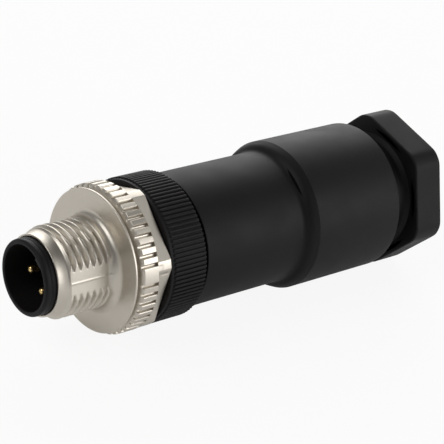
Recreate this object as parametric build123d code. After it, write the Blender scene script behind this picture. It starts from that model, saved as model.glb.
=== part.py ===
"""A field-wired M12 plug with four pins, lying on its side.

The axis of the plug is X. The plug mates towards -X and its cable leaves towards +X. The origin
is on the axis at the front end of the coupling nut's thread. Lengths are in millimetres. A
direction round the axis is an angle in degrees from +Y towards +Z.
"""
from build123d import *
import math
import os

os.makedirs("parts", exist_ok=True)

# Coupling nut: a die-cast screw that turns on the contact carrier
thread_radius = 6.0
thread_pitch = 1.0
thread_depth = 0.5
thread_crest = 0.2
thread_root = 0.15
thread_grooves = 5
lead_radius = 5.6
lead_length = 1.8
lead_wall = 0.25
sleeve_length = 8.75
sleeve_fillet = 1.1
rim_radius = 9.5
rim_width = 0.3
rim_groove_width = 0.65
rim_groove_depth = 0.65
rim_groove_rise = 0.25
rim_edge_round = 0.15
knurl_rise = 0.4
knurl_width = 2.3
knurl_teeth = 48
knurl_depth = 0.45
knurl_crest_share = 0.56
knurl_turn = 1.85
knurl_end_slope = 0.2
parting_turn = 162.5
parting_width = 12.0
nut_hex_width = 2.15
nut_hex_across = 17.7
nut_hex_turn = 128.0
nut_chamfer = 0.3
nut_lip = 1.3
nut_bore_radius = 5.08
nut_socket_radius = 7.4

# Contact carrier: moulded collar, shoulder, grip ring, threaded neck and terminal block
collar_clearance = 0.08
collar_wall = 0.7
collar_reach = 1.55
collar_rim_round = 0.45
collar_mouth_round = 0.22
chamber_depth = 8.3
key_turn = 119.0
key_width = 1.5
key_height = 0.85
key_setback = 0.35
shoulder_clearance = 0.1
ring_gap = 0.15
grip_overhang = 0.3
grip_length = 5.6
grip_band = 0.45
grip_flutes = 100
grip_flute_depth = 0.22
grip_flute_turn = 1.8
grip_flute_crest_share = 0.5
grip_rear_chamfer = 0.1
neck_radius = 7.6
neck_length = 7.2
terminal_block_radius = 6.8
terminal_block_length = 8.4

# Retaining ring: an open ring that keeps the nut on the carrier
retainer_setback = 1.15
retainer_width = 0.8
retainer_depth = 0.95
retainer_stand = 0.3
retainer_clearance = 0.1
retainer_opening = 34.0

# Contacts: round pins in front, box terminals behind
pin_radius = 0.5
pin_circle_radius = 2.35
pin_recess = 2.35
pin_tip_round = 0.36
stem_radius = 0.7
stem_clearance = 0.03
terminal_inner = 2.1
terminal_height = 3.0
terminal_width = 2.9
terminal_length = 7.0
terminal_wall = 0.5
terminal_roof = 0.6
terminal_clearance = 0.05

# Terminal screws and the wire guards that they press down
screw_radius = 0.95
screw_clearance = 0.05
screw_foot_clearance = 0.02
screw_head_radius = 1.25
screw_head_height = 0.7
screw_travel = 0.8
screw_slot_width = 0.35
screw_slot_depth = 0.35
screw_head_round = 0.15
guard_thickness = 0.3
guard_length = 4.6
guard_clearance = 0.08

# Housing sleeve and the seal in its mouth
housing_gap = 0.8
housing_wall = 0.74
housing_step = 1.25
housing_fit = 0.06
shoulder_start = 16.85
shoulder_steep_run = 0.55
shoulder_steep_rise = 0.8
shoulder_run = 1.65
wide_length = 15.15
wide_rear_chamfer = 0.2
wrench_stand = 0.1
wrench_turn = 120.0
terminal_room = 0.15
block_room = 1.0
ledge_width = 0.8
ledge_radius = 5.6
seat_length = 3.0
seal_section_radius = 0.32
seal_room = 0.06

# Gland screw: hexagon head, threaded shank and cable entry
gland_thread_radius = 8.0
gland_thread_pitch = 1.5
gland_shank_length = 8.0
gland_gap = 3.9
gland_overhang = 0.6
gland_corner_height = 1.05
gland_hex_width = 4.9
gland_hex_turn = 160.0
gland_hex_chamfer = 0.35
gland_boss_radius = 7.6
gland_boss_length = 1.8
gland_boss_round = 1.2
gland_collar_length = 0.6
gland_collar_rise = 0.55
gland_shank_round = 0.3
cable_entry_radius = 5.0
entry_round = 0.5

# Thrust washer, clamping basket and cable seal
washer_thickness = 0.8
washer_inner_radius = 4.7
stack_clearance = 0.15
basket_length = 7.0
basket_wall = 1.3
basket_rim = 2.0
basket_fingers = 8
basket_slot = 1.1
basket_taper_length = 1.7
basket_taper = 1.2
basket_tooth = 0.5
basket_tooth_length = 0.9
seal_gap = 0.05
seal_hole_radius = 3.6
seal_lip = 0.6

# Stations along X, from the front to the rear
sleeve_front = -lead_length
rim_front = sleeve_front + sleeve_length
groove_front = rim_front + rim_width
knurl_front = groove_front + rim_groove_width
knurl_rear = knurl_front + knurl_width
nut_rear = knurl_rear + nut_hex_width
lip_rear = rim_front + nut_lip
collar_front = sleeve_front - collar_reach
chamber_floor = collar_front + chamber_depth
shoulder_front = lip_rear + shoulder_clearance
grip_front = nut_rear + ring_gap
grip_rear = grip_front + grip_length
neck_rear = grip_rear + neck_length
block_rear = neck_rear + terminal_block_length
retainer_front = shoulder_front + retainer_setback
retainer_rear = retainer_front + retainer_width
pin_tip = collar_front + pin_recess
terminal_rear = neck_rear + terminal_length
housing_front = grip_rear + housing_gap
cone_front = housing_front + shoulder_start
wide_front = cone_front + shoulder_run
housing_rear = wide_front + wide_length
gland_head_front = housing_rear + gland_gap
gland_head_rear = gland_head_front + gland_hex_width
gland_rear = gland_head_rear + gland_boss_length
gland_front = gland_head_front - gland_shank_length
basket_rear = gland_front - washer_thickness
basket_front = basket_rear - basket_length

# Radii that follow from the sizes above
knurl_radius = rim_radius + knurl_rise
grip_radius = rim_radius + grip_overhang
collar_radius = nut_bore_radius - collar_clearance
chamber_radius = collar_radius - collar_wall
shoulder_radius = nut_socket_radius - shoulder_clearance
retainer_inner = shoulder_radius - retainer_depth + retainer_stand
retainer_outer = retainer_inner + retainer_depth
neck_bore_radius = neck_radius + housing_fit
mouth_radius = neck_radius + 2 * (seal_room + seal_section_radius)
housing_radius = mouth_radius + housing_wall
housing_wide_radius = housing_radius + housing_step
terminal_bore_radius = terminal_block_radius + terminal_room
gland_bore_radius = gland_thread_radius + housing_fit
gland_hex_corner_radius = housing_wide_radius + gland_overhang
gland_hex_across = 2 * (gland_hex_corner_radius - gland_corner_height)
basket_radius = gland_bore_radius - stack_clearance
basket_bore_radius = basket_radius - basket_wall
terminal_outer = terminal_inner + terminal_height
window_height = terminal_height - terminal_wall - terminal_roof
window_inner = terminal_inner + terminal_wall
window_outer = window_inner + window_height

pin_turns = [key_turn + turn for turn in (45.0, 135.0, 225.0, 315.0)]
far = 40.0


def around(turn, radius):
    """The point at this radius and direction in a plane across the axis."""
    angle = math.radians(turn)
    return (radius * math.cos(angle), radius * math.sin(angle))


def turned(points, rounds=None):
    """A body of revolution about X. rounds gives the radius at a corner, by the corner's index."""
    profile = make_face(Polyline(*points, close=True))
    for index, radius in (rounds or {}).items():
        corner = profile.vertices().sort_by_distance(Vector(*points[index]))[0]
        profile = fillet(corner, radius)
    return revolve(profile, Axis.X)


def tube(front, rear, outer, inner):
    """A plain ring along X between two stations."""
    return turned([(front, inner), (rear, inner), (rear, outer), (front, outer)])


def bar(front, rear, outline):
    """A straight bar along X whose section is the outline, a list of points across the axis."""
    section = Plane.YZ * make_face(Polyline(*outline, close=True))
    return Pos(X=front) * extrude(section, rear - front)


def toothed(front, rear, count, tip, depth, crest_share, turn):
    """A bar along X with equal flat-topped teeth round it, the first at this direction."""
    step = 360.0 / count
    crest = step * crest_share / 2
    foot = step * (1 + crest_share) / 4 + step * 0.1
    corners = ((-foot, tip - depth), (-crest, tip), (crest, tip), (foot, tip - depth))
    outline = [around(turn + i * step + offset, radius) for i in range(count) for offset, radius in corners]
    return bar(front, rear, outline)


def thread_grooves_outline():
    """The sleeve's profile over the thread: equal grooves a pitch apart, with flat crests and roots."""
    flank = (thread_pitch - thread_crest - thread_root) / 2
    points = [(0, thread_radius)]
    for i in range(thread_grooves):
        start = thread_crest + i * thread_pitch
        points += [
            (start, thread_radius),
            (start + flank, thread_radius - thread_depth),
            (start + flank + thread_root, thread_radius - thread_depth),
            (start + 2 * flank + thread_root, thread_radius),
        ]
    return points


def hexagon(front, rear, across, turn):
    """A hexagonal bar along X with a flat facing this direction."""
    corner = across / 2 / math.cos(math.radians(30))
    return bar(front, rear, [around(turn + 30 + 60 * i, corner) for i in range(6)])


def make_coupling_nut():
    """Threaded sleeve, rim, knurl and hexagon in one casting, hollow for the carrier."""
    lead = [
        (sleeve_front, 0),
        (sleeve_front, nut_bore_radius + lead_wall),
        (lead_radius - thread_radius, lead_radius),
    ]
    rim = [
        (rim_front, thread_radius),
        (rim_front, rim_radius),
        (groove_front, rim_radius),
        (groove_front, rim_radius - rim_groove_depth),
        (knurl_front, rim_radius - rim_groove_depth + rim_groove_rise),
        (knurl_front, 0),
    ]
    outline = lead + thread_grooves_outline() + rim
    root = len(outline) - len(rim)
    sleeve = turned(outline, {root: sleeve_fillet, root + 1: rim_edge_round})
    knurl = toothed(
        knurl_front, knurl_rear, knurl_teeth, knurl_radius, knurl_depth, knurl_crest_share, knurl_turn
    )
    for side in (0, 180):
        edges = [parting_turn + side + share * parting_width for share in (-0.5, -0.25, 0, 0.25, 0.5)]
        knurl += bar(knurl_front, knurl_rear, [(0, 0)] + [around(edge, knurl_radius) for edge in edges])
    knurl &= turned(
        [
            (knurl_front, 0),
            (knurl_front, knurl_radius - knurl_depth),
            (knurl_front + knurl_end_slope, knurl_radius),
            (knurl_rear, knurl_radius),
            (knurl_rear, 0),
        ]
    )
    rear = hexagon(knurl_rear, nut_rear, nut_hex_across, nut_hex_turn)
    rear &= turned(
        [
            (knurl_rear, 0),
            (knurl_rear, knurl_radius),
            (nut_rear - nut_chamfer, knurl_radius),
            (nut_rear, knurl_radius - nut_chamfer),
            (nut_rear, 0),
        ]
    )
    retainer_groove = tube(
        retainer_front - retainer_clearance,
        retainer_rear + retainer_clearance,
        retainer_outer + retainer_clearance,
        0,
    )
    hollow = tube(sleeve_front - 1, nut_rear, nut_bore_radius, 0)
    hollow += tube(lip_rear, nut_rear + 1, nut_socket_radius, 0)
    return sleeve + knurl + rear - hollow - retainer_groove


def make_contact_carrier():
    """The moulding that holds the contacts: collar and key in front, thread and terminals behind."""
    front = turned(
        [
            (collar_front, 0),
            (collar_front, collar_radius),
            (shoulder_front, collar_radius),
            (shoulder_front, shoulder_radius),
            (grip_front, shoulder_radius),
            (grip_front, 0),
        ],
        {1: collar_rim_round},
    )
    band = tube(grip_front, grip_front + grip_band, grip_radius - grip_flute_depth, 0)
    flutes = toothed(
        grip_front + grip_band,
        grip_rear,
        grip_flutes,
        grip_radius,
        grip_flute_depth,
        grip_flute_crest_share,
        grip_flute_turn,
    )
    flutes &= turned(
        [
            (grip_front, 0),
            (grip_front, grip_radius),
            (grip_rear - grip_rear_chamfer, grip_radius),
            (grip_rear, grip_radius - grip_rear_chamfer),
            (grip_rear, 0),
        ]
    )
    neck = tube(grip_rear, neck_rear, neck_radius, 0)
    block = tube(neck_rear, block_rear, terminal_block_radius, 0)
    carrier = front + band + flutes + neck + block
    carrier -= turned(
        [
            (collar_front - 1, 0),
            (collar_front - 1, chamber_radius + collar_mouth_round),
            (collar_front, chamber_radius + collar_mouth_round),
            (collar_front + collar_mouth_round, chamber_radius),
            (chamber_floor, chamber_radius),
            (chamber_floor, 0),
        ]
    )
    key_depth = key_height + collar_wall / 2
    key = Box(
        chamber_depth - key_setback, key_depth, key_width, align=(Align.MIN, Align.MIN, Align.CENTER)
    )
    carrier += Rot(X=key_turn) * Pos(collar_front + key_setback, chamber_radius - key_height, 0) * key
    carrier -= tube(
        retainer_front - retainer_clearance,
        retainer_rear + retainer_clearance,
        far,
        retainer_inner - retainer_clearance / 2,
    ) & tube(shoulder_front, grip_front, shoulder_radius + 1, 0)
    pocket_inner = terminal_inner - terminal_clearance
    pocket = Box(
        terminal_block_length + 1,
        far,
        terminal_width + 2 * terminal_clearance,
        align=(Align.MIN, Align.MIN, Align.CENTER),
    )
    stem_hole = Pos(Y=pin_circle_radius) * tube(
        chamber_floor - 1, neck_rear + 1, stem_radius + stem_clearance, 0
    )
    for turn in pin_turns:
        carrier -= Rot(X=turn) * (Pos(neck_rear, pocket_inner, 0) * pocket + stem_hole)
    return carrier


def make_retaining_ring():
    """An open ring, sprung into the carrier's groove and reaching into the nut's."""
    ring = tube(retainer_front, retainer_rear, retainer_outer, retainer_inner)
    opening_width = 2 * retainer_outer * math.sin(math.radians(retainer_opening / 2))
    opening = Box(far, far, opening_width, align=(Align.CENTER, Align.MIN, Align.CENTER))
    return ring - opening


def make_contact():
    """One contact facing +Y: a pin with a domed tip, a stem and a box terminal open to the rear."""
    shaft = turned(
        [
            (pin_tip, 0),
            (pin_tip, pin_radius),
            (chamber_floor, pin_radius),
            (chamber_floor, stem_radius),
            (neck_rear, stem_radius),
            (neck_rear, 0),
        ],
        {1: pin_tip_round},
    )
    corner = (Align.MIN, Align.MIN, Align.CENTER)
    terminal = Pos(neck_rear, terminal_inner, 0) * Box(
        terminal_length, terminal_height, terminal_width, align=corner
    )
    window = Pos(neck_rear + 2 * terminal_wall, window_inner, 0) * Box(
        terminal_length, window_height, terminal_width - 2 * terminal_wall, align=corner
    )
    hole = Rot(Z=90) * tube(window_inner, far, screw_radius + screw_clearance, 0)
    return Pos(Y=pin_circle_radius) * shaft + terminal - window - Pos(X=screw_station) * hole


def make_terminal_screw():
    """One slotted screw along +Y, backed out, with its foot on the wire guard."""
    foot = window_outer - guard_clearance + screw_foot_clearance
    head = terminal_outer + screw_travel + screw_clearance
    top = head + screw_head_height
    body = turned(
        [(foot, 0), (foot, screw_radius), (head, screw_radius), (head, screw_head_radius)]
        + [(top, screw_head_radius), (top, 0)],
        {4: screw_head_round},
    )
    slot = Pos(X=top) * Box(2 * screw_slot_depth, screw_slot_width, far)
    return Pos(X=screw_station) * Rot(Z=90) * (body - slot)


def make_wire_guard():
    """One thin plate inside a terminal, pressed onto the wire by the screw."""
    width = terminal_width - 2 * terminal_wall - 2 * guard_clearance
    plate = Box(guard_length, guard_thickness, width, align=(Align.CENTER, Align.MAX, Align.CENTER))
    return Pos(screw_station, window_outer - guard_clearance, 0) * plate


def make_front_seal():
    """The sealing ring between the grip ring and the housing's mouth."""
    middle = neck_radius + seal_room + seal_section_radius
    centre = housing_front + seal_room + seal_section_radius
    section = Pos(centre, middle) * Circle(seal_section_radius)
    return revolve(section, Axis.X)


def make_housing_sleeve():
    """The long sleeve: narrow front, sloping shoulder with two wrench flats, wide rear."""
    steep_radius = housing_radius + shoulder_steep_rise
    outside = turned(
        [
            (housing_front, 0),
            (housing_front, housing_radius),
            (cone_front, housing_radius),
            (cone_front + shoulder_steep_run, steep_radius),
            (wide_front, housing_wide_radius),
            (housing_rear - wide_rear_chamfer, housing_wide_radius),
            (housing_rear, housing_wide_radius - wide_rear_chamfer),
            (housing_rear, 0),
        ]
    )
    flat_length = wide_front - housing_front
    for side in (0, 180):
        flat = Box(flat_length, far, far, align=(Align.MIN, Align.MIN, Align.CENTER))
        outside -= Rot(X=wrench_turn + side) * Pos(housing_front, housing_radius + wrench_stand, 0) * flat
    mouth_rear = housing_front + 2 * (seal_room + seal_section_radius)
    thread_rear = neck_rear + housing_gap
    ledge_front = block_rear + block_room
    seat_front = ledge_front + ledge_width
    inside = turned(
        [
            (housing_front - 1, 0),
            (housing_front - 1, mouth_radius),
            (mouth_rear, mouth_radius),
            (mouth_rear, neck_bore_radius),
            (thread_rear, neck_bore_radius),
            (thread_rear, terminal_bore_radius),
            (ledge_front, terminal_bore_radius),
            (ledge_front, ledge_radius),
            (seat_front, ledge_radius),
            (seat_front + seat_length, gland_bore_radius),
            (housing_rear - gland_collar_length, gland_bore_radius),
            (housing_rear, gland_bore_radius + gland_collar_rise),
            (housing_rear + 1, gland_bore_radius + gland_collar_rise),
            (housing_rear + 1, 0),
        ]
    )
    return outside - inside


def make_gland_screw():
    """The pressing screw at the cable end, shown backed out by the gap in front of its head."""
    head = hexagon(gland_head_front, gland_head_rear, gland_hex_across, gland_hex_turn)
    chamfer_drop = 1.6 * gland_hex_chamfer
    head &= turned(
        [
            (gland_head_front, 0),
            (gland_head_front, gland_hex_corner_radius - chamfer_drop),
            (gland_head_front + gland_hex_chamfer, gland_hex_corner_radius),
            (gland_head_rear - gland_hex_chamfer, gland_hex_corner_radius),
            (gland_head_rear, gland_hex_corner_radius - chamfer_drop),
            (gland_head_rear, 0),
        ]
    )
    shank = turned(
        [
            (gland_front, 0),
            (gland_front, gland_thread_radius),
            (gland_head_front - gland_collar_length, gland_thread_radius),
            (gland_head_front, gland_thread_radius + gland_collar_rise),
            (gland_head_front, 0),
        ],
        {1: gland_shank_round},
    )
    boss = turned(
        [
            (gland_head_rear, 0),
            (gland_head_rear, gland_boss_radius),
            (gland_rear, gland_boss_radius),
            (gland_rear, 0),
        ],
        {2: gland_boss_round},
    )
    entry = turned(
        [
            (gland_front - 1, 0),
            (gland_front - 1, cable_entry_radius),
            (gland_rear - entry_round, cable_entry_radius),
            (gland_rear, cable_entry_radius + entry_round),
            (gland_rear + 1, cable_entry_radius + entry_round),
            (gland_rear + 1, 0),
        ]
    )
    return head + shank + boss - entry


def make_thrust_washer():
    """The slip ring between the gland screw and the basket."""
    return tube(basket_rear, gland_front, basket_radius, washer_inner_radius)


def make_clamping_basket():
    """A slotted cage whose tapered fingers close on the cable."""
    tooth_radius = basket_bore_radius - basket_tooth
    cage = turned(
        [
            (basket_front, tooth_radius),
            (basket_front + basket_tooth_length, tooth_radius),
            (basket_front + basket_tooth_length + basket_tooth, basket_bore_radius),
            (basket_rear, basket_bore_radius),
            (basket_rear, basket_radius),
            (basket_front + basket_taper_length, basket_radius),
            (basket_front, basket_radius - basket_taper),
        ]
    )
    slot_length = basket_length - basket_rim
    for i in range(basket_fingers):
        slot = Box(slot_length, far, basket_slot, align=(Align.MIN, Align.MIN, Align.CENTER))
        cage -= Rot(X=360 * (i + 0.5) / basket_fingers) * Pos(X=basket_front) * slot
    return cage


def make_cable_seal():
    """The rubber sleeve inside the basket, with a tapered lead-in for the cable."""
    outer = basket_bore_radius - seal_gap
    front = basket_front + basket_tooth_length + basket_tooth + seal_gap
    return turned(
        [
            (front, seal_hole_radius),
            (basket_rear - seal_lip, seal_hole_radius),
            (basket_rear, seal_hole_radius + seal_lip),
            (basket_rear, outer),
            (front, outer),
        ]
    )


screw_station = neck_rear + 2 * terminal_wall + guard_length / 2 + guard_clearance

pieces = {
    "coupling_nut": make_coupling_nut(),
    "contact_carrier": make_contact_carrier(),
    "retaining_ring": make_retaining_ring(),
    "front_seal": make_front_seal(),
    "housing_sleeve": make_housing_sleeve(),
    "clamping_basket": make_clamping_basket(),
    "cable_seal": make_cable_seal(),
    "thrust_washer": make_thrust_washer(),
    "gland_screw": make_gland_screw(),
}
for number, turn in enumerate(pin_turns, start=1):
    pieces[f"contact_pin_{number}"] = Rot(X=turn) * make_contact()
    pieces[f"terminal_screw_{number}"] = Rot(X=turn) * make_terminal_screw()
    pieces[f"wire_guard_{number}"] = Rot(X=turn) * make_wire_guard()

for name, piece in pieces.items():
    export_step(piece, f"parts/{name}.step")
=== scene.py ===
import math
import bmesh
import bpy
import numpy as np
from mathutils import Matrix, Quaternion, Vector


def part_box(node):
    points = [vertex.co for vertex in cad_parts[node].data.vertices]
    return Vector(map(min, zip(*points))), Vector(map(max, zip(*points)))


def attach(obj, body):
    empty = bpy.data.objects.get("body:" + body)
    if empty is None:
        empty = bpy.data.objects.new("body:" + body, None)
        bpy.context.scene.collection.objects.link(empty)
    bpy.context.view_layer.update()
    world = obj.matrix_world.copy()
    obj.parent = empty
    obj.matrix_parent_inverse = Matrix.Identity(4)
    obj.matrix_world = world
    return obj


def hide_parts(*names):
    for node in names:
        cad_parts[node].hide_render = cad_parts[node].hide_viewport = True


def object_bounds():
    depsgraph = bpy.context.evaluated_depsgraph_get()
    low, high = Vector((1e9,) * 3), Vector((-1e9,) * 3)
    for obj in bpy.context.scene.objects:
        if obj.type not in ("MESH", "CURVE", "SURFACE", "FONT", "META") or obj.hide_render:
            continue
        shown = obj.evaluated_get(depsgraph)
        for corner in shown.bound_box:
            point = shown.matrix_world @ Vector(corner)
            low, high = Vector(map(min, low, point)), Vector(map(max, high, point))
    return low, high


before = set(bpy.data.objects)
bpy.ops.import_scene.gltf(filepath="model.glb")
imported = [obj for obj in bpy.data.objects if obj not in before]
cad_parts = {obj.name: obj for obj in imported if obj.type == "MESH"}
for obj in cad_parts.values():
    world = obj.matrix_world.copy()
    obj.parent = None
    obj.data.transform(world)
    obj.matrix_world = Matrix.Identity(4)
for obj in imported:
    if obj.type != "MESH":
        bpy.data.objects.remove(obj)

cad_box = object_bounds()


# Contact carrier. One black moulding of glass-filled polyamide: the keyed collar round the pins, the
# shoulder that the nut turns on, the fluted ring that fingers hold, the threaded neck for the sleeve
# and the block with the four terminal pockets.
def linear(code):
    """The linear colour, with alpha 1, of an sRGB hex code such as "#1a2b3c"."""
    srgb = np.array([int(code[i : i + 2], 16) for i in (1, 3, 5)]) / 255
    light = np.where(srgb <= 0.04045, srgb / 12.92, ((srgb + 0.055) / 1.055) ** 2.4)
    return (*light.tolist(), 1.0)


def add_node(material, kind, inputs=(), **properties):
    """Adds one node. Each input is given a value, or a link if it is another node's output."""
    node = material.node_tree.nodes.new(kind)
    for name, value in properties.items():
        setattr(node, name, value)
    for name, value in dict(inputs).items():
        if isinstance(value, bpy.types.NodeSocket):
            material.node_tree.links.new(value, node.inputs[name])
        else:
            node.inputs[name].default_value = value
    return node


def new_material(name):
    """An empty node material with its output, and the Object coordinates that its patterns follow."""
    material = bpy.data.materials.new(name)
    material.use_nodes = True
    material.node_tree.nodes.clear()
    place = add_node(material, "ShaderNodeTexCoord").outputs["Object"]
    return material, place


def finish_material(material, shader):
    add_node(material, "ShaderNodeOutputMaterial", {"Surface": shader.outputs[0]})
    return material


def glass_filled_polyamide():
    """Black PA66-GF, injection moulded in a spark-eroded tool: fine even grain and faint clouding."""
    material, place = new_material("glass_filled_polyamide")
    cloud = add_node(material, "ShaderNodeTexNoise", {"Vector": place, "Scale": 220.0, "Detail": 3.0})
    tone = add_node(
        material,
        "ShaderNodeMix",
        {"Factor": cloud.outputs["Fac"], "A": linear("#121011"), "B": linear("#191717")},
        data_type="RGBA",
    )
    sheen = add_node(
        material,
        "ShaderNodeMapRange",
        {"Value": cloud.outputs["Fac"], "From Min": 0.3, "From Max": 0.7, "To Min": 0.5, "To Max": 0.58},
    )
    grain = add_node(material, "ShaderNodeTexNoise", {"Vector": place, "Scale": 6500.0, "Detail": 2.0})
    relief = add_node(
        material,
        "ShaderNodeBump",
        {"Strength": 0.25, "Distance": 0.00004, "Height": grain.outputs["Fac"]},
    )
    shader = add_node(
        material,
        "ShaderNodeBsdfPrincipled",
        {
            "Base Color": tone.outputs["Result"],
            "Roughness": sheen.outputs["Result"],
            "Normal": relief.outputs["Normal"],
            "IOR": 1.34,
            "Specular IOR Level": 0.33,
        },
    )
    return finish_material(material, shader)


def rounded(corners, closed=True, steps=4):
    """The points of an outline with its corners rounded.

    A corner (x, radius, cut) turns into a parabola between the points at a distance cut before it and
    after it: (1-s)^2 before + 2s(1-s) corner + s^2 after, for s from 0 to 1.
    """
    corners = np.array(corners, dtype=float)
    point, cut = corners[:, :2], corners[:, 2:]
    back = np.roll(point, 1, axis=0) - point
    ahead = np.roll(point, -1, axis=0) - point
    before = point + back / np.linalg.norm(back, axis=1, keepdims=True) * cut
    after = point + ahead / np.linalg.norm(ahead, axis=1, keepdims=True) * cut
    s = np.linspace(0, 1, steps + 1)[None, :, None]
    path = (1 - s) ** 2 * before[:, None] + 2 * s * (1 - s) * point[:, None] + s**2 * after[:, None]
    path = path.reshape(-1, 2)
    return np.vstack([path, path[:1]]) if closed else path


def divided(path, step):
    """The same path with points added, so that none is further than step from the next."""
    along = np.r_[0, np.cumsum(np.hypot(*np.diff(path, axis=0).T))]
    places = np.union1d(along, np.arange(0, along[-1], step))
    return np.column_stack([np.interp(places, along, path[:, 0]), np.interp(places, along, path[:, 1])])


def shell(name, x, radius, turn, material, body, slot, *nodes, sharp=35):
    """A closed skin round the X axis, put on its body in place of the CAD nodes.

    Row i and column j lie at (x[i], radius[i, j] cos turn[j], radius[i, j] sin turn[j]), in
    millimetres, and the last column joins the first. Points that fall together are merged.
    """
    rows, columns = radius.shape
    points = np.empty((rows, columns, 3))
    points[..., 0] = np.broadcast_to(np.reshape(x, (rows, -1)), radius.shape)
    points[..., 1] = radius * np.cos(turn)
    points[..., 2] = radius * np.sin(turn)
    index = np.arange(rows * columns).reshape(rows, columns)
    aside = np.roll(index, -1, axis=1)
    faces = np.stack([index[:-1], aside[:-1], aside[1:], index[1:]], axis=-1).reshape(-1, 4)
    mesh = bpy.data.meshes.new(name)
    mesh.from_pydata((points.reshape(-1, 3) / 1000).tolist(), [], faces.tolist())
    return placed(name, mesh, material, body, slot, *nodes, sharp=sharp)


def placed(name, mesh, material, body, slot, *nodes, sharp=35):
    """Merges a mesh's doubles, turns its faces outwards and puts it on its body."""
    build = bmesh.new()
    build.from_mesh(mesh)
    bmesh.ops.remove_doubles(build, verts=build.verts, dist=1e-7)
    bmesh.ops.recalc_face_normals(build, faces=build.faces)
    build.to_mesh(mesh)
    build.free()
    mesh.shade_smooth()
    mesh.set_sharp_from_angle(angle=math.radians(sharp))
    mesh.materials.append(material)
    piece = bpy.data.objects.new(name, mesh)
    bpy.context.collection.objects.link(piece)
    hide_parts(*nodes)
    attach(piece, body)
    return piece


def smooth(value, low, high):
    """0 below low, 1 above high, and the curve 3t^2 - 2t^3 between them."""
    t = np.clip((value - low) / (high - low), 0, 1)
    return t * t * (3 - 2 * t)


def aside_of(turn, centre, period=2 * np.pi):
    """How far a direction is from the nearest of the directions centre, centre + period and so on."""
    return (turn - centre + period / 2) % period - period / 2


def gap(turn, count, crest, flank, centre=0.0):
    """The depth, 0 to 1, between count equal teeth: 0 on a crest, 1 in a gap, a slope of width flank.

    crest and flank are shares of one tooth's pitch.
    """
    away = np.abs(aside_of(turn, centre, 2 * np.pi / count)) * count / np.pi
    return smooth(away, crest, crest + flank)


def screw_thread(x, turn, pitch, crest=0.2, root=0.2):
    """The depth, 0 to 1, of a right-hand 60 degree thread: a triangle wave of x / pitch - turn / 2 pi.

    crest and root are the shares of the pitch that are flat.
    """
    phase = (x[:, None] / pitch - turn / (2 * np.pi)) % 1
    return np.clip((np.abs(phase - 0.5) - root / 2) / (0.5 - (crest + root) / 2), 0, 1)


polyamide = glass_filled_polyamide()
carrier_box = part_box("contact_carrier")
collar_front = carrier_box[0][0] * 1000
block_rear = carrier_box[1][0] * 1000
grip_radius = carrier_box[1][2] * 1000
collar_radius = 5.0
chamber_radius = 4.3
chamber_depth = 8.3
shoulder_front = 8.35
ring_groove = (9.4, 10.4)
grip_front = 12.5
flutes_front = 12.95
grip_rear = 18.1
neck_rear = 25.3
shoulder_radius = 7.3
neck_radius = 7.6
groove_floor = 6.6
flute_count = 100
flute_depth = 0.22
flute_turn = math.radians(1.8)
neck_thread_depth = 0.45
key_turn = math.radians(119)
key_rise = 0.85
key_reach = math.radians(11.4)
key_flank = math.radians(1.0)
step_line_depth = 0.07

carrier_path = divided(
    rounded(
        [
            (collar_front + chamber_depth, 0.0, 0.0),
            (collar_front + chamber_depth, chamber_radius, 0.15),
            (collar_front, chamber_radius, 0.22),
            (collar_front, collar_radius, 0.45),
            (shoulder_front, collar_radius, 0.1),
            (shoulder_front, shoulder_radius, 0.15),
            (ring_groove[0], shoulder_radius, 0.02),
            (ring_groove[0], groove_floor, 0.02),
            (ring_groove[1], groove_floor, 0.02),
            (ring_groove[1], shoulder_radius, 0.02),
            (grip_front, shoulder_radius, 0.02),
            (grip_front, grip_radius - flute_depth, 0.12),
            (flutes_front, grip_radius - flute_depth, 0.02),
            (flutes_front + 0.12, grip_radius, 0.05),
            (grip_rear, grip_radius, 0.12),
            (grip_rear, neck_radius, 0.05),
            (neck_rear, neck_radius, 0.3),
            (neck_rear, 0.0, 0.0),
        ],
        closed=False,
    ),
    0.14,
)
carrier_x, carrier_r = carrier_path[:, 0], carrier_path[:, 1:]
carrier_turn = np.linspace(0, 2 * np.pi, 800, endpoint=False)

# The flutes, cut from the plain band to the rear edge. None goes below the band.
in_flutes = (carrier_x > flutes_front) & (carrier_x < grip_rear + 0.01)
in_flutes = in_flutes & (carrier_r[:, 0] > grip_radius - 0.8)
flute = flute_depth * in_flutes[:, None] * gap(carrier_turn, flute_count, 0.42, 0.3, flute_turn)
carrier_floor = np.where(in_flutes, grip_radius - flute_depth, 0.0)[:, None]

# The neck's thread, one millimetre a turn
on_neck = smooth(carrier_x, grip_rear + 1.4, grip_rear + 1.8)
on_neck = on_neck * smooth(-carrier_x, -neck_rear, 0.4 - neck_rear) * (carrier_r[:, 0] > neck_radius - 0.4)
neck_thread = neck_thread_depth * on_neck[:, None]
neck_thread = neck_thread * screw_thread(carrier_x, carrier_turn, 1.0)

# The key rib: inside the collar the wall steps in, over key_reach to each side of key_turn
inside = (np.arange(len(carrier_x)) < np.argmin(carrier_x)) & (carrier_r[:, 0] > 3.4)
key = smooth(key_reach - np.abs(aside_of(carrier_turn, key_turn)), 0, key_flank)
key = key * (smooth(carrier_x, collar_front + 0.3, collar_front + 0.5) * inside)[:, None]

carrier_radius = np.maximum(carrier_r - flute, np.minimum(carrier_r, carrier_floor)) - neck_thread
carrier_radius = carrier_radius - key_rise * key

# A fine line round the collar, 0.9 behind its front: a bell curve in x
on_collar = np.abs(carrier_r[:, 0] - collar_radius) < 0.1
step_line = np.exp(-(((carrier_x - collar_front - 0.9) / 0.1) ** 2)) * on_collar
carrier_radius = carrier_radius - step_line_depth * step_line[:, None]
shell(
    "moulded_carrier", carrier_x, carrier_radius, carrier_turn, polyamide, "carrier", "black_plastic",
    "contact_carrier",
)

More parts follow.
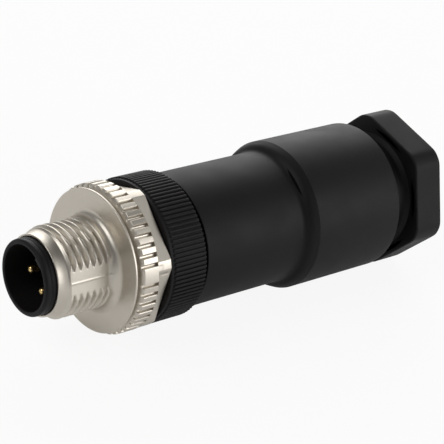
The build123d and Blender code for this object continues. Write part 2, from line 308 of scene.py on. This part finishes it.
# The terminal block: a round bar with a pocket open outwards for each terminal
pocket_floor = 2.05
pocket_half = 1.5
block_radius = 6.8
pocket_edge = math.asin(pocket_half / block_radius)
arc = np.linspace(pocket_edge, np.pi / 2 - pocket_edge, 24)
quarter = np.vstack(
    [
        [(pocket_floor, -pocket_half), (pocket_floor, pocket_half)],
        np.column_stack([block_radius * np.cos(arc), block_radius * np.sin(arc)]),
    ]
)
quarters = key_turn + np.radians([45, 135, 225, 315])
spin = np.stack([[np.cos(quarters), -np.sin(quarters)], [np.sin(quarters), np.cos(quarters)]])
outline = np.einsum("abq,pb->qpa", spin, quarter).reshape(-1, 2)


def bar(name, outline, front, rear, *options):
    """A straight bar along X with the outline (y, z) as its section, closed by a flat face at each end."""
    count = len(outline)
    ends = [np.column_stack([np.full(count, x), outline]) for x in (front, rear)]
    index = np.arange(count)
    aside = np.roll(index, -1)
    sides = np.column_stack([index, aside, aside + count, index + count])
    mesh = bpy.data.meshes.new(name)
    faces = sides.tolist() + [index[::-1].tolist(), (index + count).tolist()]
    mesh.from_pydata((np.vstack(ends) / 1000).tolist(), [], faces)
    return placed(name, mesh, *options)


bar(
    "terminal_block", outline, neck_rear - 0.05, block_rear, polyamide, "carrier", "black_plastic",
    "contact_carrier",
)


# Contacts. Turned and milled brass, gold over nickel: a round pin in front and a box terminal behind.
# They are pressed into the carrier from the rear.
def gold_plated_brass():
    """Hard gold over nickel on brass: warm, bright, with faint turning marks round the pin."""
    material, place = new_material("gold_plated_brass")
    marks = add_node(material, "ShaderNodeTexNoise", {"Vector": place, "Scale": 2400.0, "Detail": 2.0})
    roughness = add_node(
        material,
        "ShaderNodeMapRange",
        {"Value": marks.outputs["Fac"], "To Min": 0.2, "To Max": 0.36},
    )
    tone = add_node(
        material,
        "ShaderNodeMix",
        {"Factor": marks.outputs["Fac"], "A": linear("#e3c07c"), "B": linear("#f0d79c")},
        data_type="RGBA",
    )
    shader = add_node(
        material,
        "ShaderNodeBsdfPrincipled",
        {"Base Color": tone.outputs["Result"], "Roughness": roughness.outputs["Result"], "Metallic": 1.0},
    )
    return finish_material(material, shader)


def finish_node(material, *names):
    """Gives a CAD node that keeps its own shape this material."""
    for name in names:
        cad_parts[name].data.materials.clear()
        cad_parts[name].data.materials.append(material)


finish_node(gold_plated_brass(), *[f"contact_pin_{i}" for i in range(1, 5)])


# Terminal screws and wire guards. Nickel-plated steel screws, cold headed and slotted, each pressing a
# stamped spring-steel plate onto the wire.
def plated_steel(name, dark, light, smoothest, roughest):
    """Bright plated or rolled steel with a fine grain in colour and roughness."""
    material, place = new_material(name)
    grain = add_node(material, "ShaderNodeTexNoise", {"Vector": place, "Scale": 1800.0, "Detail": 3.0})
    tone = add_node(
        material,
        "ShaderNodeMix",
        {"Factor": grain.outputs["Fac"], "A": linear(dark), "B": linear(light)},
        data_type="RGBA",
    )
    roughness = add_node(
        material,
        "ShaderNodeMapRange",
        {"Value": grain.outputs["Fac"], "To Min": smoothest, "To Max": roughest},
    )
    shader = add_node(
        material,
        "ShaderNodeBsdfPrincipled",
        {"Base Color": tone.outputs["Result"], "Roughness": roughness.outputs["Result"], "Metallic": 1.0},
    )
    return finish_material(material, shader)


screw_steel = plated_steel("nickel_plated_steel", "#b9b4aa", "#cfcac0", 0.22, 0.34)
spring_steel = plated_steel("rolled_spring_steel", "#8f9092", "#a9aaac", 0.25, 0.4)
finish_node(screw_steel, *[f"terminal_screw_{i}" for i in range(1, 5)])
finish_node(spring_steel, "retaining_ring", *[f"wire_guard_{i}" for i in range(1, 5)])


# Coupling nut. Zinc, die-cast in a two-part tool and nickel plated: the threaded sleeve with a flat
# along each parting line, and behind it the rim, the knurl and a short hexagon. It is sprung over the
# retaining ring and turns on the carrier.
def nickel_plated_zinc():
    """Satin nickel over die-cast zinc: warm grey, soft reflections, a faint cast skin and clouding."""
    material, place = new_material("nickel_plated_zinc")
    cloud = add_node(material, "ShaderNodeTexNoise", {"Vector": place, "Scale": 260.0, "Detail": 4.0})
    tone = add_node(
        material,
        "ShaderNodeMix",
        {"Factor": cloud.outputs["Fac"], "A": linear("#c6bfb3"), "B": linear("#d5cfc5")},
        data_type="RGBA",
    )
    roughness = add_node(
        material,
        "ShaderNodeMapRange",
        {"Value": cloud.outputs["Fac"], "From Min": 0.3, "From Max": 0.7, "To Min": 0.36, "To Max": 0.45},
    )
    skin = add_node(material, "ShaderNodeTexNoise", {"Vector": place, "Scale": 2600.0, "Detail": 3.0})
    relief = add_node(
        material,
        "ShaderNodeBump",
        {"Strength": 0.2, "Distance": 0.00003, "Height": skin.outputs["Fac"]},
    )
    shader = add_node(
        material,
        "ShaderNodeBsdfPrincipled",
        {
            "Base Color": tone.outputs["Result"],
            "Roughness": roughness.outputs["Result"],
            "Normal": relief.outputs["Normal"],
            "Metallic": 1.0,
        },
    )
    return finish_material(material, shader)


zinc = nickel_plated_zinc()
nut_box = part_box("coupling_nut")
sleeve_front = nut_box[0][0] * 1000
nut_rear = nut_box[1][0] * 1000
knurl_radius = nut_box[1][2] * 1000
rim_radius = 9.5
thread_crest = 6.0
thread_depth = 0.58
lead_radius = 5.6
bore_radius = 5.08
socket_radius = 7.4
rim_front = 6.95
groove_front = 7.22
socket_front = 8.25
knurl_front = 7.78
knurl_rear = 10.2
ring_seat_radius = 7.7
root_radius = 7.3
flat_distance = 5.53
flat_reach = math.radians(28)
fade_start = math.radians(26)
fade_length = math.radians(22)
fade_depth = 0.62
line_height = 0.05
line_width = 0.018
tooth_count = 48
tooth_depth = 0.45
tooth_turn = math.radians(1.85)
parting_turn = math.radians(165)
block_turn = parting_turn - math.radians(1.75)
block_reach = 0.116
hex_turn = math.radians(128)
hex_flat = 8.85
seam_x = 10.55
seam_depth = 0.16
mark_x = 11.4
mark_depth = 0.1
mark_width = 0.02

sleeve_path = divided(
    rounded(
        [
            (socket_front - 0.02, bore_radius, 0.0),
            (sleeve_front, bore_radius, 0.06),
            (sleeve_front, bore_radius + 0.25, 0.1),
            (-1.0, lead_radius - 0.2, 0.4),
            (-0.3, lead_radius, 0.15),
            (0.0, thread_crest, 0.08),
            (rim_front + 0.01, thread_crest, 1.1),
            (rim_front + 0.01, root_radius, 0.0),
            (socket_front - 0.02, root_radius, 0.0),
        ],
        steps=8,
    ),
    0.075,
)
sleeve_x, sleeve_r = sleeve_path[:, 0], sleeve_path[:, 1:]
sleeve_turn = np.linspace(0, 2 * np.pi, 360, endpoint=False)
threaded = smooth(sleeve_x, -0.2, 0.15) * smooth(-sleeve_x, -5.9, -5.4) * (sleeve_r[:, 0] > lead_radius)
sleeve_radius = sleeve_r - thread_depth * threaded[:, None] * screw_thread(sleeve_x, sleeve_turn, 1.0)

# Along each parting line the crests are cut to a flat, and the valleys fade out towards it, where a fine
# raised line, a bell curve in turn, is left by the tool
beside = np.abs(aside_of(sleeve_turn, parting_turn, np.pi))
outer = (sleeve_r[:, 0] > bore_radius + 0.22) & (sleeve_x > -0.25) & (sleeve_r[:, 0] < 7.0)
on_flat = (smooth(sleeve_x, -0.25, 0.0) * smooth(-sleeve_x, -6.8, -5.6) * outer)[:, None]
level = np.minimum(flat_distance / np.cos(beside), sleeve_r)
fading = fade_depth * np.clip((fade_start - beside) / fade_length, 0, 1)
valley = np.clip(level - sleeve_radius - fading, 0, None)
near = beside < flat_reach
sleeve_radius = np.where(near, sleeve_radius + on_flat * (level - valley - sleeve_radius), sleeve_radius)
sleeve_radius = sleeve_radius + line_height * on_flat * np.exp(-((beside / line_width) ** 2))
shell(
    "threaded_sleeve", sleeve_x, sleeve_radius, sleeve_turn, zinc, "nut", "plated_metal", "coupling_nut",
    sharp=50,
)

flange_path = divided(
    rounded(
        [
            (rim_front, bore_radius + 0.05, 0.02),
            (rim_front, rim_radius, 0.08),
            (groove_front, rim_radius, 0.04),
            (groove_front, rim_radius - 0.65, 0.08),
            (knurl_front - 0.15, rim_radius - 0.55, 0.08),
            (knurl_front, rim_radius - 0.2, 0.03),
            (knurl_front + 0.26, knurl_radius, 0.08),
            (knurl_rear, knurl_radius, 0.02),
            (knurl_rear + 0.04, knurl_radius, 0.01),
            (nut_rear, knurl_radius, 0.2),
            (nut_rear, socket_radius, 0.1),
            (ring_groove[1], socket_radius, 0.02),
            (ring_groove[1], ring_seat_radius, 0.02),
            (ring_groove[0], ring_seat_radius, 0.02),
            (ring_groove[0], socket_radius, 0.02),
            (socket_front, socket_radius, 0.02),
            (socket_front, bore_radius + 0.05, 0.0),
        ],
    ),
    0.25,
)
flange_x, flange_r = flange_path[:, 0], flange_path[:, 1:]
flange_turn = np.linspace(0, 2 * np.pi, 768, endpoint=False)
on_outside = flange_r[:, 0] > 8.6

# The teeth, with a wide block in place of some of them along each parting line
block = smooth(block_reach - np.abs(aside_of(flange_turn, block_turn, np.pi)), 0, 0.016)
tooth_gap = gap(flange_turn, tooth_count, 0.56, 0.24, tooth_turn) * (1 - block)
in_knurl = on_outside & (flange_x > knurl_front) & (flange_x < knurl_rear + 0.02)
tooth_floor = np.minimum(flange_r, knurl_radius - tooth_depth)
flange_radius = np.where(in_knurl[:, None], flange_r + (tooth_floor - flange_r) * tooth_gap, flange_r)

# The hexagon: flats cut into the round. Behind each block lies a sunk seam, and a narrow mark of the tool
# crosses the band along the parting line.
in_hexagon = on_outside & (flange_x > knurl_rear + 0.02)
hexagon = hex_flat / np.cos(aside_of(flange_turn, hex_turn, np.pi / 3))
under_flat = hexagon - np.clip(knurl_radius - flange_r, 0, None)
flange_radius = np.where(in_hexagon[:, None], np.minimum(flange_radius, under_flat), flange_radius)
seam = np.exp(-(((flange_x - seam_x) / 0.1) ** 2))[:, None] * block
mark = smooth(-np.abs(flange_x - mark_x), -0.65, -0.55)[:, None]
mark = mark * np.exp(-((aside_of(flange_turn, parting_turn, np.pi) / mark_width) ** 2))
flange_radius = flange_radius - on_outside[:, None] * (seam_depth * seam + mark_depth * mark)
shell("rim_and_knurl", flange_x, flange_radius, flange_turn, zinc, "nut", "plated_metal", "coupling_nut")


# Front seal. A nitrile rubber ring, moulded, lying in the sleeve's mouth.
def nitrile_rubber():
    """Moulded NBR: deep black, matt, with a slight bloom."""
    material, place = new_material("nitrile_rubber")
    bloom = add_node(material, "ShaderNodeTexNoise", {"Vector": place, "Scale": 900.0, "Detail": 4.0})
    tone = add_node(
        material,
        "ShaderNodeMix",
        {"Factor": bloom.outputs["Fac"], "A": linear("#141414"), "B": linear("#222120")},
        data_type="RGBA",
    )
    shader = add_node(
        material,
        "ShaderNodeBsdfPrincipled",
        {"Base Color": tone.outputs["Result"], "Roughness": 0.7, "IOR": 1.52},
    )
    return finish_material(material, shader)


finish_node(nitrile_rubber(), "front_seal", "cable_seal")


# Housing sleeve. The same black polyamide, moulded: a narrow front that screws onto the carrier, a
# sloping shoulder with a wrench flat on each side, and a wide rear that takes the pressing screw.
housing_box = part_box("housing_sleeve")
housing_front = housing_box[0][0] * 1000
housing_rear = housing_box[1][0] * 1000
wide_radius = housing_box[1][2] * 1000
narrow_radius = 9.1
slope_front = 35.75
step_top = 36.3
wide_front = 37.4
rear_bore_radius = 8.06
cone_rear = 38.5
throat_rear = 35.5
throat_front = 34.7
throat_radius = 5.6
block_bore_front = 26.1
block_bore_radius = 6.95
neck_bore_radius = 7.66
seal_mouth_radius = 8.36
seal_mouth_depth = 0.76
wrench_turn = math.radians(120)
wrench_distance = 9.2

housing_path = rounded(
    [
        (housing_front, narrow_radius, 0.12),
        (slope_front, narrow_radius, 0.5),
        (step_top, narrow_radius + 0.8, 0.5),
        (wide_front, wide_radius, 0.05),
        (housing_rear, wide_radius, 0.2),
        (housing_rear, rear_bore_radius + 0.55, 0.05),
        (housing_rear - 0.6, rear_bore_radius, 0.1),
        (cone_rear, rear_bore_radius, 0.1),
        (throat_rear, throat_radius, 0.1),
        (throat_front, throat_radius, 0.1),
        (throat_front, block_bore_radius, 0.1),
        (block_bore_front, block_bore_radius, 0.05),
        (block_bore_front, neck_bore_radius, 0.05),
        (housing_front + seal_mouth_depth, neck_bore_radius, 0.05),
        (housing_front + seal_mouth_depth, seal_mouth_radius, 0.05),
        (housing_front, seal_mouth_radius, 0.1),
    ],
    steps=6,
)

# The outside gets more rows where the wrench flats cut it, and two just in front of the step behind them
split = np.argmax(np.diff(housing_path[:, 0]) < 0)
front_part = housing_path[: split + 1]
dense = divided(front_part, 0.1)
keep = (dense[:, 0] > slope_front - 0.55) & (dense[:, 0] < wide_front + 0.1)
keep |= np.isin(dense[:, 0].round(6), front_part[:, 0].round(6))
step_rows = np.array([(wide_front - 0.012, wide_radius), (wide_front - 0.004, wide_radius)])
outside = np.vstack([dense[keep], step_rows])
outside = outside[np.lexsort((outside[:, 1], outside[:, 0]))]
housing_path = np.vstack([outside, housing_path[split + 1 :]])
housing_x, housing_r = housing_path[:, 0], housing_path[:, 1:]
housing_turn = np.linspace(0, 2 * np.pi, 720, endpoint=False)

# A flat at distance d lies at radius d / cos(angle beside it), and nowhere at a right angle to it
across = np.cos(aside_of(housing_turn, wrench_turn, np.pi))
flat = np.where(across > 1e-6, wrench_distance / np.maximum(across, 1e-6), np.inf)
in_flat = (housing_x < wide_front - 0.01) & (np.arange(len(housing_x)) < len(outside))
housing_radius = np.where(in_flat[:, None], np.minimum(housing_r, flat), housing_r)
shell(
    "stepped_sleeve", housing_x, housing_radius, housing_turn, polyamide, "housing", "black_plastic",
    "housing_sleeve", sharp=30,
)


# Clamping basket and thrust washer. Natural grey polyamide and acetal, moulded: the cage closes on the
# cable as the pressing screw drives it into the sleeve's cone, and the washer lets the screw slip.
def grey_polyamide():
    """Unfilled PA66 in grey: satin, slightly cloudy."""
    material, place = new_material("grey_polyamide")
    cloud = add_node(material, "ShaderNodeTexNoise", {"Vector": place, "Scale": 400.0, "Detail": 3.0})
    tone = add_node(
        material,
        "ShaderNodeMix",
        {"Factor": cloud.outputs["Fac"], "A": linear("#8b8b88"), "B": linear("#9b9b97")},
        data_type="RGBA",
    )
    shader = add_node(
        material,
        "ShaderNodeBsdfPrincipled",
        {"Base Color": tone.outputs["Result"], "Roughness": 0.5, "IOR": 1.53},
    )
    return finish_material(material, shader)


finish_node(grey_polyamide(), "clamping_basket", "thrust_washer")


# Pressing screw. Black polyamide, moulded: a hexagon head with rounded corners on a plain neck and
# thread, and the cable's entry through a boss at the rear.
gland_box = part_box("gland_screw")
gland_front = gland_box[0][0] * 1000
gland_rear = gland_box[1][0] * 1000
head_front = 56.45
head_rear = 61.35
head_turn = math.radians(160)
head_flat = 9.9
head_corner = 10.95
head_softness = 0.12
thread_radius = 8.0
boss_radius = 7.6

gland_path = divided(
    rounded(
        [
            (gland_front, 5.0, 0.1),
            (gland_front, thread_radius, 0.3),
            (head_front - 0.6, thread_radius, 0.2),
            (head_front, thread_radius + 0.55, 0.05),
            (head_front, head_corner, 0.3),
            (head_rear, head_corner, 0.3),
            (head_rear, boss_radius, 0.1),
            (gland_rear, boss_radius, 1.2),
            (gland_rear, 5.25, 0.4),
        ],
        steps=6,
    ),
    0.5,
)
gland_x, gland_r = gland_path[:, 0], gland_path[:, 1:]
gland_turn = np.linspace(0, 2 * np.pi, 480, endpoint=False)

# The head: six flats with round corners, blended as c - w log(1 + exp((c - hexagon) / w)), where c is the
# corners' radius and w their softness. Rows outside head_flat keep their depth below it, which folds the
# head's two end faces over themselves beside the middle of each flat.
hexagon = head_flat / np.cos(aside_of(gland_turn, head_turn, np.pi / 3))
hexagon = head_corner - head_softness * np.logaddexp(0, (head_corner - hexagon) / head_softness)
on_head = (gland_x > head_front - 0.01) & (gland_x < head_rear + 0.01)
on_head = on_head[:, None] & (gland_r > thread_radius + 0.7)
edge_depth = (head_corner - gland_r) * (gland_r > head_flat)
gland_radius = np.where(on_head, np.minimum(gland_r, hexagon - edge_depth), gland_r)
shell(
    "pressing_screw", gland_x, gland_radius, gland_turn, polyamide, "pressing_screw", "black_plastic",
    "gland_screw", sharp=40,
)


# Floor. A pale sheet under the plug, as in a studio: nearly white to the camera and through clear pieces,
# while its diffuse part takes the shadow.
floor_size = 3.0
floor_mesh = bpy.data.meshes.new("studio_floor")
floor_level = cad_box[0][2]
corners = np.array([(-1, -1), (1, -1), (1, 1), (-1, 1)]) * floor_size / 2
floor_mesh.from_pydata([(x, y, floor_level) for x, y in corners.tolist()], [], [(0, 1, 2, 3)])
studio_floor = bpy.data.objects.new("studio_floor", floor_mesh)
bpy.context.collection.objects.link(studio_floor)
paper, _ = new_material("white_paper")
matt = add_node(paper, "ShaderNodeBsdfDiffuse", {"Color": linear("#fafafa")})
glow = add_node(paper, "ShaderNodeEmission", {"Color": linear("#ffffff"), "Strength": 1.0})
ray = add_node(paper, "ShaderNodeLightPath")
seen = add_node(
    paper, "ShaderNodeMath", {0: ray.outputs["Is Camera Ray"], 1: ray.outputs["Is Transmission Ray"]},
    operation="MAXIMUM",
)
glow_share = add_node(
    paper, "ShaderNodeMath", {0: seen.outputs[0], 1: 0.65, 2: 0.25}, operation="MULTIPLY_ADD"
)
finish_material(
    paper,
    add_node(
        paper, "ShaderNodeMixShader", {"Fac": glow_share.outputs[0], 1: matt.outputs[0], 2: glow.outputs[0]}
    ),
)
floor_mesh.materials.append(paper)


# Light. Soft lamps behind, at the right and above the front, in a dim room whose far walls are pale, as
# in a studio with a white backdrop.
def soft_lamp(name, place, size, power, aim=(0.028, 0.0, 0.0)):
    """A square area lamp at place, turned to face aim."""
    lamp = bpy.data.lights.new(name, "AREA")
    lamp.size = size
    lamp.energy = power
    holder = bpy.data.objects.new(name, lamp)
    holder.location = place
    holder.rotation_euler = (Vector(aim) - Vector(place)).to_track_quat("-Z", "Y").to_euler()
    bpy.context.collection.objects.link(holder)


soft_lamp("rear_softbox", (0.30, 0.34, 0.20), 0.4, 1.0)
soft_lamp("right_softbox", (0.34, -0.40, 0.17), 0.3, 0.8)
soft_lamp("front_softbox", (-0.45, 0.10, 0.45), 0.4, 1.7)

room = bpy.data.worlds.new("pale_room")
room.use_nodes = True
room.node_tree.nodes.clear()
towards = add_node(room, "ShaderNodeTexCoord").outputs["Generated"]

# To all but the camera the room is dim, with two bright walls. Each adds up to strength where the
# direction's dot product with the wall's rises from widest to closest.
brightness = 0.1
for wall, widest, closest, strength in (
    ((0.60, 0.78, 0.20), 0.5, 0.97, 0.8),
    ((0.62, -0.74, 0.26), 0.6, 0.97, 0.75),
):
    facing = add_node(room, "ShaderNodeVectorMath", {0: towards, 1: wall}, operation="DOT_PRODUCT")
    share = add_node(
        room,
        "ShaderNodeMapRange",
        {"Value": facing.outputs["Value"], "From Min": widest, "From Max": closest, "To Max": strength},
    )
    total = add_node(room, "ShaderNodeMath", {0: share.outputs[0], 1: brightness}, operation="ADD")
    brightness = total.outputs[0]
ray = add_node(room, "ShaderNodeLightPath")
white = add_node(room, "ShaderNodeBackground", {"Color": linear("#ffffff"), "Strength": 1.0})
walls = add_node(room, "ShaderNodeBackground", {"Color": linear("#ffffff"), "Strength": brightness})
shown = add_node(
    room, "ShaderNodeMixShader",
    {"Fac": ray.outputs["Is Camera Ray"], 1: walls.outputs[0], 2: white.outputs[0]},
)
add_node(room, "ShaderNodeOutputWorld", {"Surface": shown.outputs[0]})
bpy.context.scene.world = room


# Camera. A long lens from the front left and above, rolled a little, as the photograph was taken.
camera_place = Vector((-0.1156, -0.1438, 0.1164))
camera_aim = Vector((0.6159, 0.6137, -0.4939))
camera_roll = math.radians(11.9)
camera_data = bpy.data.cameras.new("photo_camera")
camera_data.sensor_width = 36.0
camera_data.lens = 140.8
camera_data.shift_y = 0.002
camera_data.clip_start = 0.01
camera = bpy.data.objects.new("photo_camera", camera_data)
camera.location = camera_place
level = camera_aim.to_track_quat("-Z", "Y")
camera.rotation_euler = (level @ Quaternion((0, 0, 1), camera_roll)).to_euler()
bpy.context.collection.objects.link(camera)
bpy.context.scene.camera = camera
bpy.context.scene.view_settings.view_transform = "Standard"
